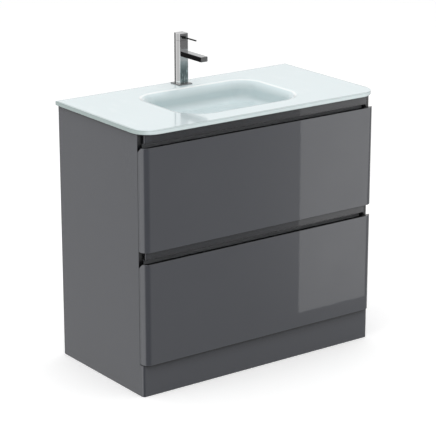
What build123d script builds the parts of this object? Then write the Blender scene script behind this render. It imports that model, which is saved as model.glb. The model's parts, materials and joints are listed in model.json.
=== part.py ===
from build123d import *
import os
from math import radians, tan

# Floor-standing two-drawer bathroom vanity with a moulded glass basin top and a square mixer tap.
# Row frame, millimetres: X across the width, Y front to back with the front at -Y, Z up from the floor.
# The origin is on the floor, under the middle of the basin top's outline.
# Depths called "from_back" are measured forwards from the rear plane of the carcass.

os.makedirs("parts", exist_ok=True)

# ---- driving dimensions: carcass ----
CARCASS_WIDTH = 900
CARCASS_DEPTH = 445
DECK_UNDERSIDE = 837
SIDE_THICKNESS = 18
BOARD = 16
EDGE_ROUND = 0.8
BASE_TOP = 104
PLINTH_HEIGHT = 103.5
PLINTH_THICKNESS = 18
PLINTH_CORNER_RADIUS = 9
BACK_PANEL_THICKNESS = 3
BACK_RAILS_Z = {
    "back_rail_lower": (104, 184),
    "back_rail_middle": (420, 490),
    "back_rail_upper": (700, 790),
}

# ---- driving dimensions: basin top ----
GLASS_WIDTH = 916
GLASS_DEPTH = 490
GLASS_THICKNESS = 14
GLASS_BACK_OVERHANG = 4
GLASS_FRONT_CORNER = 65
GLASS_REAR_CORNER = 6
GLASS_EDGE_ROUND = 2
BOWL_HALF_WIDTH = 211.5
BOWL_REAR = 100
BOWL_FRONT = 388
BOWL_REAR_CORNER = 59
BOWL_FRONT_CORNER = 80
BOWL_DEPTH = 68
BOWL_WALL = 11
BOWL_DRAFT = 6
RIM_ROLL = 32
FLOOR_FILLET = 25
DISH_RADIUS = 110
DISH_DEPTH = 6

# ---- driving dimensions: drawer fronts and finger channels ----
FRONT_THICKNESS = 31
FRONT_GAP = 1.5
FRONT_HEIGHT = 327
FRONT_CORNER_RADIUS = 25
FRONT_GRIP_CHAMFER = 16
LOWER_FRONT_BOTTOM = 105.5
CHANNEL_HEIGHT = 37
CHANNEL_RAIL_SETBACK = 14
CHANNEL_RAIL_THICKNESS = 18
CHANNEL_RAIL_LAP = 30
RAIL_NOSE_PROUD = 13
RAIL_NOSE_RADIUS = 6
FINGER_SLOT = 8

# ---- driving dimensions: drawer boxes and runners ----
BOX_WALL = 12
BOX_BOTTOM_THICKNESS = 8
BOX_REAR = 36
LOWER_BOX_Z = (118, 330)
UPPER_BOX_Z = (512, 690)
CUTOUT_HALF_WIDTH = 82
CUTOUT_FRONT = 322
RUNNER_ROOM = 13
RUNNER_LENGTH = 400
RUNNER_FRONT = 436
RUNNER_SHEET = 1.2
LOWER_RUNNER_Z = 200
UPPER_RUNNER_Z = 585
RUNNER_SCREWS = (60, 220, 390)

# ---- driving dimensions: tap ----
TAP_FROM_BACK = 32
TAP_HOLE_RADIUS = 17.5
TAP_PLATE = 52
TAP_PLATE_THICKNESS = 3
TAP_COLUMN = 33
TAP_BODY_HEIGHT = 142
TAP_SEAM = 0.6
TAP_CAP_HEIGHT = 23
TAP_EDGE = 2
SPOUT_WIDTH = 27
SPOUT_HEIGHT = 17
SPOUT_LENGTH = 112
SPOUT_ABOVE_GLASS = 94
CARTRIDGE_RADIUS = 12.5
CARTRIDGE_LENGTH = 38
LEVER_ABOVE_SEAM = 10
LEVER_RADIUS = 2.6
LEVER_LENGTH = 67
LEVER_COLLAR_RADIUS = 6
LEVER_COLLAR_LENGTH = 4
STUD_RADIUS = 4

# ---- driving dimensions: waste and trap ----
WASTE_FROM_BACK = 244
WASTE_FLANGE_RADIUS = 33
WASTE_RECESS = 1
WASTE_TUBE_RADIUS = 22
WASTE_BORE = 19
WASTE_TAIL_END = 716
PLUG_RADIUS = 30
PLUG_STEM_RADIUS = 4
TRAP_TUBE_RADIUS = 16
TRAP_TUBE_WALL = 1.5
TRAP_BODY_RADIUS = 31
TRAP_BODY_Z = (604, 672)
TRAP_CUP_Z = 570
TRAP_OUTLET_Z = 650

# ---- fits between pieces that do not move ----
LOOSE_PLAY = 0.1
CLOSE_PLAY = 0.05

# ---- derived levels and planes ----
GLASS_TOP = DECK_UNDERSIDE + GLASS_THICKNESS
BACK_Y = GLASS_DEPTH / 2 - GLASS_BACK_OVERHANG
HALF_WIDTH = CARCASS_WIDTH / 2
INNER_X = HALF_WIDTH - SIDE_THICKNESS
BOX_X = INNER_X - RUNNER_ROOM
FRONT_REAR = CARCASS_DEPTH + FRONT_GAP
FRONT_FACE = FRONT_REAR + FRONT_THICKNESS
UPPER_FRONT_BOTTOM = LOWER_FRONT_BOTTOM + FRONT_HEIGHT + CHANNEL_HEIGHT
RAIL_SHOULDER = CARCASS_DEPTH - CHANNEL_RAIL_SETBACK
RAIL_BACK = RAIL_SHOULDER - CHANNEL_RAIL_THICKNESS
RAIL_FACE = CARCASS_DEPTH + RAIL_NOSE_PROUD
BOWL_FLOOR = GLASS_TOP - BOWL_DEPTH
WASTE_SEAT = BOWL_FLOOR - DISH_DEPTH - WASTE_RECESS
BOWL_UNDERSIDE = BOWL_FLOOR - DISH_DEPTH - BOWL_WALL
TAP_BODY_BOTTOM = GLASS_TOP + TAP_PLATE_THICKNESS
TAP_BODY_TOP = TAP_BODY_BOTTOM + TAP_BODY_HEIGHT
CAP_BOTTOM = TAP_BODY_TOP + TAP_SEAM


def y_at(from_back):
    """Y of a plane so far forwards of the carcass's rear plane."""
    return BACK_Y - from_back


def plane_at(from_back):
    """Upright plane facing the front, so that extruding by a positive amount comes forwards."""
    return Plane.XZ.offset(-y_at(from_back))


TAP_AXIS = (0, y_at(TAP_FROM_BACK))
WASTE_AXIS = (0, y_at(WASTE_FROM_BACK))


def save(piece, name):
    """Labels a finished piece and writes its file."""
    piece.part.label = name
    export_step(piece.part, f"parts/{name}.step")


def slab(x, from_back, z):
    """A board between two X values, two depths from the back and two heights, for use inside a part."""
    centre = ((x[0] + x[1]) / 2, y_at((from_back[0] + from_back[1]) / 2))
    with BuildSketch(Plane.XY.offset(z[0])) as outline:
        with Locations(centre):
            Rectangle(x[1] - x[0], from_back[1] - from_back[0])
    extrude(outline.sketch, amount=z[1] - z[0])


def rods(plane, points, radius, length, mode=Mode.ADD):
    """Round rods, or with Mode.SUBTRACT holes, that start on a plane at points given in it."""
    with BuildSketch(plane) as rounds:
        with Locations(*points):
            Circle(radius)
    extrude(rounds.sketch, amount=length, mode=mode)


def drill_forwards(points, radius, from_back, depth):
    """Round holes along Y at (x, z) points, starting at a depth from the back and going forwards."""
    rods(plane_at(from_back), points, radius, depth, Mode.SUBTRACT)


def pin_forwards(points, radius, from_back, length):
    """Round rods coming forwards at (x, z) points."""
    rods(plane_at(from_back), points, radius, length)


def drill_sideways(points, radius, x, depth):
    """Round holes along +X at (y, z) points, starting at x."""
    rods(Plane.YZ.offset(x), points, radius, depth, Mode.SUBTRACT)


def pin_sideways(points, radius, x, length):
    """Round rods along +X at (y, z) points, starting at x."""
    rods(Plane.YZ.offset(x), points, radius, length)


def disc(radius, z_low, z_high, centre):
    """An upright disc about a vertical axis."""
    rods(Plane.XY.offset(z_low), [centre], radius, z_high - z_low)


def bore(radius, z_low, z_high, centre):
    """A round hole about a vertical axis."""
    rods(Plane.XY.offset(z_low), [centre], radius, z_high - z_low, Mode.SUBTRACT)


# ================= carcass =================
SCREW_SHANK = 1.6
SCREW_HEAD = 4
BRACKET_SHEET = 2
BRACKET_Z = (800, 832)
BRACKET_LEG = 40
BRACKET_SCREW_DEPTHS = (18, 32)
BRACKET_MID_Z = (BRACKET_Z[0] + BRACKET_Z[1]) / 2
BRACKET_HOLE_RADIUS = 4
BRACKET_HOLE_X = 405
RUNNER_HOLE_DEPTH = 10
CAM_RADIUS = 7.5
CAM_LENGTH = 12.5
CAM_INSET = 34
BASE_CAM_DEPTHS = (80, 365)

runner_screw_points = [
    (y_at(RUNNER_FRONT - RUNNER_LENGTH + along), z)
    for z in (LOWER_RUNNER_Z, UPPER_RUNNER_Z)
    for along in RUNNER_SCREWS
]
bracket_screw_points = [(y_at(d), BRACKET_MID_Z) for d in BRACKET_SCREW_DEPTHS]
side_screw_points = runner_screw_points + bracket_screw_points

# side panels, flat to the floor, one for each hand
for side, name in ((-1, "side_panel_left"), (1, "side_panel_right")):
    with BuildPart() as side_panel:
        outer, inner = side * HALF_WIDTH, side * INNER_X
        slab(sorted((outer, inner)), (0, CARCASS_DEPTH), (0, DECK_UNDERSIDE))
        fillet(side_panel.edges().filter_by(Axis.Z).group_by(Axis.Y)[0], EDGE_ROUND)
        hole_start = inner if side > 0 else inner - RUNNER_HOLE_DEPTH
        drill_sideways(side_screw_points, SCREW_SHANK, hole_start, RUNNER_HOLE_DEPTH)
    save(side_panel, name)

# base board between the sides, with its cam fittings let in from below
BASE_BOTTOM = BASE_TOP - SIDE_THICKNESS
base_cam_points = [
    (side * (INNER_X - CAM_INSET), y_at(depth)) for side in (-1, 1) for depth in BASE_CAM_DEPTHS
]
with BuildPart() as base_panel:
    slab((-INNER_X, INNER_X), (0, CARCASS_DEPTH), (BASE_BOTTOM, BASE_TOP))
    with BuildSketch(Plane.XY.offset(BASE_BOTTOM)):
        with Locations(*base_cam_points):
            Circle(CAM_RADIUS)
    extrude(amount=CAM_LENGTH, mode=Mode.SUBTRACT)
save(base_panel, "base_panel")

# plinth across the full width, with rounded upright corners
with BuildPart() as plinth_front:
    slab(
        (-HALF_WIDTH, HALF_WIDTH),
        (CARCASS_DEPTH, CARCASS_DEPTH + PLINTH_THICKNESS),
        (0, PLINTH_HEIGHT),
    )
    front_uprights = plinth_front.edges().filter_by(Axis.Z).group_by(Axis.Y)[0]
    fillet(front_uprights, PLINTH_CORNER_RADIUS)
    fillet(plinth_front.faces().sort_by(Axis.Z)[-1].edges().group_by(Axis.Y)[0], EDGE_ROUND)
save(plinth_front, "plinth_front")

# plastic corner blocks that hold the plinth under the base board
BLOCK = 25
BLOCK_WALL = 4
BLOCK_X = 250
with BuildPart() as plinth_blocks:
    for x in (-BLOCK_X, BLOCK_X):
        slab(
            (x - BLOCK, x + BLOCK),
            (CARCASS_DEPTH - BLOCK, CARCASS_DEPTH),
            (BASE_BOTTOM - BLOCK, BASE_BOTTOM),
        )
        with BuildSketch(Plane.YZ.offset(x - BLOCK + BLOCK_WALL)):
            with BuildLine():
                Polyline(
                    (y_at(CARCASS_DEPTH - BLOCK), BASE_BOTTOM - BLOCK),
                    (y_at(CARCASS_DEPTH - BLOCK), BASE_BOTTOM - BLOCK_WALL),
                    (y_at(CARCASS_DEPTH - BLOCK_WALL), BASE_BOTTOM - BLOCK_WALL),
                    (y_at(CARCASS_DEPTH - BLOCK_WALL), BASE_BOTTOM - BLOCK),
                    close=True,
                )
            make_face()
        extrude(amount=2 * (BLOCK - BLOCK_WALL), mode=Mode.SUBTRACT)
save(plinth_blocks, "plinth_blocks")

# rails that form the two finger channels: an upright board set back between the side panels,
# and a nose on its face that closes the upper part of the channel above the finger slot
lower_front_top = LOWER_FRONT_BOTTOM + FRONT_HEIGHT
upper_front_top = UPPER_FRONT_BOTTOM + FRONT_HEIGHT
channel_rails = {
    "middle_channel_rail": (
        (lower_front_top - CHANNEL_RAIL_LAP, UPPER_FRONT_BOTTOM + CHANNEL_RAIL_LAP),
        (lower_front_top + FINGER_SLOT, UPPER_FRONT_BOTTOM - FRONT_GAP),
    ),
    "upper_channel_rail": (
        (upper_front_top - CHANNEL_RAIL_LAP, DECK_UNDERSIDE),
        (upper_front_top + FINGER_SLOT, DECK_UNDERSIDE),
    ),
}
for name, (board_z, nose_z) in channel_rails.items():
    with BuildPart() as channel_rail:
        slab((-INNER_X, INNER_X), (RAIL_SHOULDER, RAIL_FACE), nose_z)
        fillet(channel_rail.edges().filter_by(Axis.Z).group_by(Axis.Y)[0], RAIL_NOSE_RADIUS)
        slab((-INNER_X, INNER_X), (RAIL_BACK, RAIL_SHOULDER), board_z)
    save(channel_rail, name)

# rails across the back, each held by two cam fittings let into its rear face
back_cam_points = [
    (side * (INNER_X - CAM_INSET), (low + high) / 2)
    for low, high in BACK_RAILS_Z.values()
    for side in (-1, 1)
]
for name, heights in BACK_RAILS_Z.items():
    with BuildPart() as back_rail:
        slab((-INNER_X, INNER_X), (0, BOARD), heights)
        rail_cams = [p for p in back_cam_points if heights[0] < p[1] < heights[1]]
        drill_forwards(rail_cams, CAM_RADIUS, 0, CAM_LENGTH)
    save(back_rail, name)

# thin back that closes the lower half, fixed to the front faces of the two lower rails
with BuildPart() as back_panel:
    slab(
        (-INNER_X, INNER_X),
        (BOARD, BOARD + BACK_PANEL_THICKNESS),
        (BASE_TOP, BACK_RAILS_Z["back_rail_middle"][1]),
    )
save(back_panel, "back_panel")

# cam fittings: slotted metal discs flush with the faces of their boards
CAM_SLOT = (9, 1.6)
CAM_SLOT_DEPTH = 3
with BuildPart() as cam_fittings:
    with BuildSketch(Plane.XY.offset(BASE_BOTTOM)):
        with Locations(*base_cam_points):
            Circle(CAM_RADIUS - LOOSE_PLAY)
    extrude(amount=CAM_LENGTH - LOOSE_PLAY)
    with BuildSketch(plane_at(0)):
        with Locations(*back_cam_points):
            Circle(CAM_RADIUS - LOOSE_PLAY)
    extrude(amount=CAM_LENGTH - LOOSE_PLAY)
    with BuildSketch(Plane.XY.offset(BASE_BOTTOM)):
        with Locations(*base_cam_points):
            Rectangle(*CAM_SLOT)
            Rectangle(*CAM_SLOT, rotation=90)
    extrude(amount=CAM_SLOT_DEPTH, mode=Mode.SUBTRACT)
    with BuildSketch(plane_at(0)):
        with Locations(*back_cam_points):
            Rectangle(*CAM_SLOT)
            Rectangle(*CAM_SLOT, rotation=90)
    extrude(amount=CAM_SLOT_DEPTH, mode=Mode.SUBTRACT)
save(cam_fittings, "cam_fittings")

# steel angles in the upper rear corners that fix the carcass to a wall
with BuildPart() as wall_brackets:
    slab((INNER_X - BRACKET_SHEET, INNER_X), (0, BRACKET_LEG), BRACKET_Z)
    slab((INNER_X - BRACKET_LEG, INNER_X), (0, BRACKET_SHEET), BRACKET_Z)
    drill_sideways(bracket_screw_points, SCREW_SHANK, INNER_X - BRACKET_SHEET, BRACKET_SHEET)
    drill_forwards([(BRACKET_HOLE_X, BRACKET_MID_Z)], BRACKET_HOLE_RADIUS, 0, BRACKET_SHEET)
    mirror(about=Plane.YZ)
save(wall_brackets, "wall_brackets")

# ================= basin top =================


def bowl_outline(z, grow):
    """The bowl's rounded outline at a height, grown outwards by an amount."""
    with BuildSketch(Plane.XY.offset(z)) as outline:
        with Locations((0, y_at((BOWL_FRONT + BOWL_REAR) / 2))):
            Rectangle(2 * (BOWL_HALF_WIDTH + grow), BOWL_FRONT - BOWL_REAR + 2 * grow)
        fillet(outline.vertices().group_by(Axis.Y)[0], BOWL_FRONT_CORNER + grow)
        fillet(outline.vertices().group_by(Axis.Y)[-1], BOWL_REAR_CORNER + grow)
    return outline.sketch


WASTE_HOLE_PLAY = 1
WASTE_HOLE_RADIUS = WASTE_TUBE_RADIUS + WASTE_HOLE_PLAY
WASTE_SEAT_RADIUS = WASTE_FLANGE_RADIUS + WASTE_HOLE_PLAY
UNDERSIDE_FILLET = 15
SELECT_BAND = 0.1
WALL_STEP = BOWL_WALL - GLASS_THICKNESS * tan(radians(BOWL_DRAFT))

with BuildPart() as basin_top:
    with BuildSketch(Plane.XY.offset(DECK_UNDERSIDE)) as deck_outline:
        Rectangle(GLASS_WIDTH, GLASS_DEPTH)
        front_corners = deck_outline.vertices().group_by(Axis.Y)[0]
        rear_corners = deck_outline.vertices().group_by(Axis.Y)[-1]
        fillet(front_corners, GLASS_FRONT_CORNER)
        fillet(rear_corners, GLASS_REAR_CORNER)
    extrude(amount=GLASS_THICKNESS)
    extrude(
        bowl_outline(DECK_UNDERSIDE, WALL_STEP),
        amount=BOWL_UNDERSIDE - DECK_UNDERSIDE,
        taper=BOWL_DRAFT,
    )
    level_faces = basin_top.faces().filter_by(Axis.Z).sort_by(Axis.Z)
    fillet(level_faces[1].inner_wires()[0].edges(), UNDERSIDE_FILLET)
    under_face = basin_top.faces().filter_by(Axis.Z).sort_by(Axis.Z)[0]
    fillet(under_face.edges(), FLOOR_FILLET + BOWL_WALL)
    extrude(bowl_outline(GLASS_TOP, 0), amount=-BOWL_DEPTH, taper=BOWL_DRAFT, mode=Mode.SUBTRACT)
    bowl_floor = basin_top.faces().filter_by(Axis.Z).filter_by_position(
        Axis.Z, BOWL_FLOOR - SELECT_BAND, BOWL_FLOOR + SELECT_BAND
    )
    fillet(bowl_floor.edges(), FLOOR_FILLET)
    deck_top = basin_top.faces().filter_by(Axis.Z).sort_by(Axis.Z)[-1]
    fillet(deck_top.inner_wires()[0].edges(), RIM_ROLL)
    deck_faces = basin_top.faces().filter_by(Axis.Z).sort_by(Axis.Z)[-2:]
    deck_rims = [edge for face in deck_faces for edge in face.outer_wire().edges()]
    fillet(deck_rims, GLASS_EDGE_ROUND)
    with BuildSketch(plane_at(WASTE_FROM_BACK)):
        with BuildLine():
            Polyline(
                (0, BOWL_FLOOR - DISH_DEPTH),
                (DISH_RADIUS, BOWL_FLOOR),
                (0, BOWL_FLOOR),
                close=True,
            )
        make_face()
    revolve(axis=Axis((0, WASTE_AXIS[1], 0), (0, 0, 1)), mode=Mode.SUBTRACT)
    bore(WASTE_SEAT_RADIUS, WASTE_SEAT, BOWL_FLOOR, WASTE_AXIS)
    bore(WASTE_HOLE_RADIUS, BOWL_UNDERSIDE, WASTE_SEAT, WASTE_AXIS)
    bore(TAP_HOLE_RADIUS, DECK_UNDERSIDE, GLASS_TOP, TAP_AXIS)
save(basin_top, "basin_top")

# ================= drawer runners =================


def channel_pair(web, depth, height, z, opens_inwards):
    """Two mirrored sheet-metal channels along Y: web is the distance of the web's outer face
    from the carcass wall, depth the channel's reach across the gap, height its overall height."""
    near, far = INNER_X - web - depth, INNER_X - web
    hollow_shift = -RUNNER_SHEET if opens_inwards else RUNNER_SHEET
    middle = (near + far) / 2
    with BuildSketch(plane_at(RUNNER_FRONT - RUNNER_LENGTH)) as section:
        with Locations((middle, z)):
            Rectangle(depth, height)
        with Locations((middle + hollow_shift, z)):
            Rectangle(depth, height - 2 * RUNNER_SHEET, mode=Mode.SUBTRACT)
    extrude(section.sketch, amount=RUNNER_LENGTH)


FIXED_MEMBER = (0, 9.6, 45)
MIDDLE_MEMBER = (4, 7, 34)
DRAWER_MEMBER = (6.5, 6.5, 23)
FIXED_SCREW_HEAD = 2
DRAWER_SCREW_HEAD = 1.8
MEMBER_CLEARANCE = 0.2

for level, z in (("lower", LOWER_RUNNER_Z), ("upper", UPPER_RUNNER_Z)):
    level_screws = [p for p in runner_screw_points if p[1] == z]

    with BuildPart() as fixed_members:
        channel_pair(*FIXED_MEMBER, z, opens_inwards=True)
        drill_sideways(level_screws, SCREW_SHANK, INNER_X - RUNNER_SHEET, RUNNER_SHEET)
        mirror(about=Plane.YZ)
    save(fixed_members, f"{level}_runner_fixed_members")

    with BuildPart() as middle_members:
        channel_pair(*MIDDLE_MEMBER, z, opens_inwards=True)
        mirror(about=Plane.YZ)
    save(middle_members, f"{level}_runner_middle_members")

    with BuildPart() as drawer_members:
        channel_pair(*DRAWER_MEMBER, z, opens_inwards=False)
        drawer_web = INNER_X - DRAWER_MEMBER[0] - DRAWER_MEMBER[1]
        drill_sideways(level_screws, SCREW_SHANK, drawer_web, RUNNER_SHEET)
        mirror(about=Plane.YZ)
    save(drawer_members, f"{level}_runner_drawer_members")

# screws that hold the fixed members and the wall brackets to the side panels
with BuildPart() as carcass_screws:
    pin_sideways(runner_screw_points, SCREW_SHANK, INNER_X - RUNNER_SHEET, RUNNER_SHEET + RUNNER_HOLE_DEPTH)
    pin_sideways(
        runner_screw_points, SCREW_HEAD, INNER_X - RUNNER_SHEET - FIXED_SCREW_HEAD, FIXED_SCREW_HEAD
    )
    pin_sideways(
        bracket_screw_points, SCREW_SHANK, INNER_X - BRACKET_SHEET, BRACKET_SHEET + RUNNER_HOLE_DEPTH
    )
    pin_sideways(
        bracket_screw_points, SCREW_HEAD, INNER_X - BRACKET_SHEET - FIXED_SCREW_HEAD, FIXED_SCREW_HEAD
    )
    mirror(about=Plane.YZ)
save(carcass_screws, "carcass_screws")

# ================= drawers =================
FRONT_SCREW_RADIUS = 2
FRONT_SCREW_HEAD = 4.5
FRONT_SCREW_HEAD_HEIGHT = 2.5
FRONT_SCREW_BITE = 18
FRONT_SCREW_X = (-340, -120, 120, 340)
FRONT_SCREW_INSET = 30
BUFFER_RADIUS = 5
BUFFER_INSET = 40


def front_screw_points(box_z):
    """Places of the screws that pull a front onto its box, as (x, z)."""
    floor = box_z[0] + BOX_BOTTOM_THICKNESS
    return [(x, z) for x in FRONT_SCREW_X for z in (floor + FRONT_SCREW_INSET, box_z[1] - FRONT_SCREW_INSET)]


def make_front(level, bottom, box_z):
    """The thick outer front: large rounded upright corners, top rear edge cut away for fingers."""
    with BuildPart() as drawer_front:
        slab((-HALF_WIDTH, HALF_WIDTH), (FRONT_REAR, FRONT_FACE), (bottom, bottom + FRONT_HEIGHT))
        uprights = drawer_front.edges().filter_by(Axis.Z).group_by(Axis.Y)[0]
        fillet(uprights, FRONT_CORNER_RADIUS)
        grip_edge = drawer_front.faces().sort_by(Axis.Z)[-1].edges().sort_by(Axis.Y)[-1]
        chamfer(grip_edge, FRONT_GRIP_CHAMFER)
        rims = drawer_front.faces().filter_by(Axis.Z).edges().group_by(Axis.Y)[:-1]
        fillet([edge for group in rims for edge in group], EDGE_ROUND)
        drill_forwards(front_screw_points(box_z), FRONT_SCREW_RADIUS, FRONT_REAR, FRONT_SCREW_BITE)
    save(drawer_front, f"{level}_drawer_front")


def make_box(level, box_z):
    """The sides and the inner front wall that both drawer boxes have alike."""
    walls_z = (box_z[0] + BOX_BOTTOM_THICKNESS, box_z[1])
    inner_front = FRONT_REAR - BOX_WALL
    screws = [p for p in runner_screw_points if walls_z[0] < p[1] < walls_z[1]]
    for side, hand in ((-1, "left"), (1, "right")):
        with BuildPart() as box_side:
            slab(sorted((side * BOX_X, side * (BOX_X - BOX_WALL))), (BOX_REAR, inner_front), walls_z)
            hole_start = BOX_X - RUNNER_HOLE_DEPTH if side > 0 else -BOX_X
            drill_sideways(screws, SCREW_SHANK, hole_start, RUNNER_HOLE_DEPTH)
        save(box_side, f"{level}_drawer_side_{hand}")
    with BuildPart() as box_front:
        slab((-BOX_X, BOX_X), (inner_front, FRONT_REAR), walls_z)
        drill_forwards(front_screw_points(box_z), FRONT_SCREW_RADIUS, inner_front, BOX_WALL)
    save(box_front, f"{level}_drawer_inner_front")


def make_drawer_screws(level, box_z, runner_z):
    """Screws through the inner front into the outer front, and through the runners into the sides."""
    inner_front = FRONT_REAR - BOX_WALL
    side_screws = [p for p in runner_screw_points if p[1] == runner_z]
    web = INNER_X - DRAWER_MEMBER[0] - DRAWER_MEMBER[1]
    with BuildPart() as drawer_screws:
        shank_start = BOX_X - RUNNER_HOLE_DEPTH
        pin_sideways(side_screws, SCREW_SHANK, shank_start, web + RUNNER_SHEET - shank_start)
        pin_sideways(side_screws, SCREW_HEAD, web + RUNNER_SHEET, DRAWER_SCREW_HEAD)
        mirror(about=Plane.YZ)
        points = front_screw_points(box_z)
        pin_forwards(points, FRONT_SCREW_RADIUS, inner_front, BOX_WALL + FRONT_SCREW_BITE)
        pin_forwards(points, FRONT_SCREW_HEAD, inner_front - FRONT_SCREW_HEAD_HEIGHT, FRONT_SCREW_HEAD_HEIGHT)
    save(drawer_screws, f"{level}_drawer_screws")


def make_buffers(level, bottom):
    """Clear pads on the back of the front that meet the edges of the side panels."""
    pad_x = HALF_WIDTH - SIDE_THICKNESS / 2
    heights = (bottom + BUFFER_INSET, bottom + FRONT_HEIGHT - BUFFER_INSET)
    with BuildPart() as buffers:
        points = [(x, z) for x in (-pad_x, pad_x) for z in heights]
        pin_forwards(points, BUFFER_RADIUS, CARCASS_DEPTH + MEMBER_CLEARANCE, FRONT_GAP - MEMBER_CLEARANCE)
    save(buffers, f"{level}_drawer_buffers")


lower_walls_z = (LOWER_BOX_Z[0] + BOX_BOTTOM_THICKNESS, LOWER_BOX_Z[1])
upper_walls_z = (UPPER_BOX_Z[0] + BOX_BOTTOM_THICKNESS, UPPER_BOX_Z[1])
INNER_BOX_X = BOX_X - BOX_WALL

for level, bottom, box_z, runner_z in (
    ("lower", LOWER_FRONT_BOTTOM, LOWER_BOX_Z, LOWER_RUNNER_Z),
    ("upper", UPPER_FRONT_BOTTOM, UPPER_BOX_Z, UPPER_RUNNER_Z),
):
    make_front(level, bottom, box_z)
    make_box(level, box_z)
    make_drawer_screws(level, box_z, runner_z)
    make_buffers(level, bottom)

# lower drawer: plain box
with BuildPart() as lower_drawer_back:
    slab((-INNER_BOX_X, INNER_BOX_X), (BOX_REAR, BOX_REAR + BOX_WALL), lower_walls_z)
save(lower_drawer_back, "lower_drawer_back")

with BuildPart() as lower_drawer_bottom:
    slab((-BOX_X, BOX_X), (BOX_REAR, FRONT_REAR), (LOWER_BOX_Z[0], lower_walls_z[0]))
save(lower_drawer_bottom, "lower_drawer_bottom")

# upper drawer: box with a bay round the trap, walled on three sides
cutout_wall_x = CUTOUT_HALF_WIDTH + BOX_WALL
with BuildPart() as upper_drawer_backs:
    slab((cutout_wall_x, INNER_BOX_X), (BOX_REAR, BOX_REAR + BOX_WALL), upper_walls_z)
    mirror(about=Plane.YZ)
save(upper_drawer_backs, "upper_drawer_backs")

with BuildPart() as bay_sides:
    slab((CUTOUT_HALF_WIDTH, cutout_wall_x), (BOX_REAR, CUTOUT_FRONT), upper_walls_z)
    mirror(about=Plane.YZ)
save(bay_sides, "upper_drawer_bay_sides")

with BuildPart() as bay_front:
    slab((-cutout_wall_x, cutout_wall_x), (CUTOUT_FRONT, CUTOUT_FRONT + BOX_WALL), upper_walls_z)
save(bay_front, "upper_drawer_bay_front")

with BuildPart() as upper_drawer_bottom:
    slab((-BOX_X, BOX_X), (BOX_REAR, FRONT_REAR), (UPPER_BOX_Z[0], upper_walls_z[0]))
    with BuildSketch(Plane.XY.offset(UPPER_BOX_Z[0])):
        with Locations((0, y_at((BOX_REAR + CUTOUT_FRONT) / 2))):
            Rectangle(2 * CUTOUT_HALF_WIDTH, CUTOUT_FRONT - BOX_REAR)
    extrude(amount=BOX_BOTTOM_THICKNESS, mode=Mode.SUBTRACT)
save(upper_drawer_bottom, "upper_drawer_bottom")

# ================= tap =================
HOSE_PORT_RADIUS = 4.5
HOSE_PORT_OFFSET = 8
HOSE_PORT_FORWARD = 5
HOSE_PORT_DEPTH = 14
PLATE_OPENING = 15
STUD_BITE = 12
STUD_LENGTH = 64
STUD_OFFSET = 9
stud_axis = (0, TAP_AXIS[1] + STUD_OFFSET)
port_points = [(side * HOSE_PORT_OFFSET, TAP_AXIS[1] - HOSE_PORT_FORWARD) for side in (-1, 1)]
cartridge_floor = TAP_BODY_TOP - CARTRIDGE_LENGTH
waterway_z = GLASS_TOP + SPOUT_ABOVE_GLASS + SPOUT_HEIGHT / 2
WATERWAY_RADIUS = 5
RISER_RADIUS = 4
column_front = TAP_FROM_BACK + TAP_COLUMN / 2

with BuildPart() as tap_base_plate:
    with BuildSketch(Plane.XY.offset(GLASS_TOP)):
        with Locations(TAP_AXIS):
            Rectangle(TAP_PLATE, TAP_PLATE)
            Circle(PLATE_OPENING, mode=Mode.SUBTRACT)
    extrude(amount=TAP_PLATE_THICKNESS)
    fillet(tap_base_plate.edges().filter_by(Axis.Z), TAP_EDGE)
    chamfer(tap_base_plate.faces().sort_by(Axis.Z)[-1].outer_wire().edges(), EDGE_ROUND)
save(tap_base_plate, "tap_base_plate")

with BuildPart() as tap_body:
    with BuildSketch(Plane.XY.offset(TAP_BODY_BOTTOM)):
        with Locations(TAP_AXIS):
            RectangleRounded(TAP_COLUMN, TAP_COLUMN, TAP_EDGE)
    extrude(amount=TAP_BODY_HEIGHT)
    bore(CARTRIDGE_RADIUS, cartridge_floor, TAP_BODY_TOP, TAP_AXIS)
    with BuildSketch(Plane.XY.offset(TAP_BODY_BOTTOM)):
        with Locations(*port_points):
            Circle(HOSE_PORT_RADIUS)
    extrude(amount=HOSE_PORT_DEPTH, mode=Mode.SUBTRACT)
    bore(STUD_RADIUS + CLOSE_PLAY, TAP_BODY_BOTTOM, TAP_BODY_BOTTOM + STUD_BITE, stud_axis)
    drill_forwards([(0, waterway_z)], WATERWAY_RADIUS, TAP_FROM_BACK, TAP_COLUMN / 2)
    bore(RISER_RADIUS, waterway_z, cartridge_floor, TAP_AXIS)
save(tap_body, "tap_body")

# spout bar with its waterway and the seat of the aerator near the tip
AERATOR_RADIUS = 9
AERATOR_HEIGHT = 7
AERATOR_INSET = 16
AERATOR_SHOW = 1.5
AERATOR_HEADROOM = 1
aerator_axis = (0, y_at(column_front + SPOUT_LENGTH - AERATOR_INSET))
spout_low = GLASS_TOP + SPOUT_ABOVE_GLASS
with BuildPart() as tap_spout:
    with BuildSketch(plane_at(column_front)):
        with Locations((0, waterway_z)):
            RectangleRounded(SPOUT_WIDTH, SPOUT_HEIGHT, TAP_EDGE)
    extrude(amount=SPOUT_LENGTH)
    fillet(tap_spout.faces().sort_by(Axis.Y)[0].edges(), EDGE_ROUND)
    drill_forwards([(0, waterway_z)], WATERWAY_RADIUS, column_front, SPOUT_LENGTH - AERATOR_INSET)
    bore(AERATOR_RADIUS, spout_low, spout_low + AERATOR_HEIGHT, aerator_axis)
save(tap_spout, "tap_spout")

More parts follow.
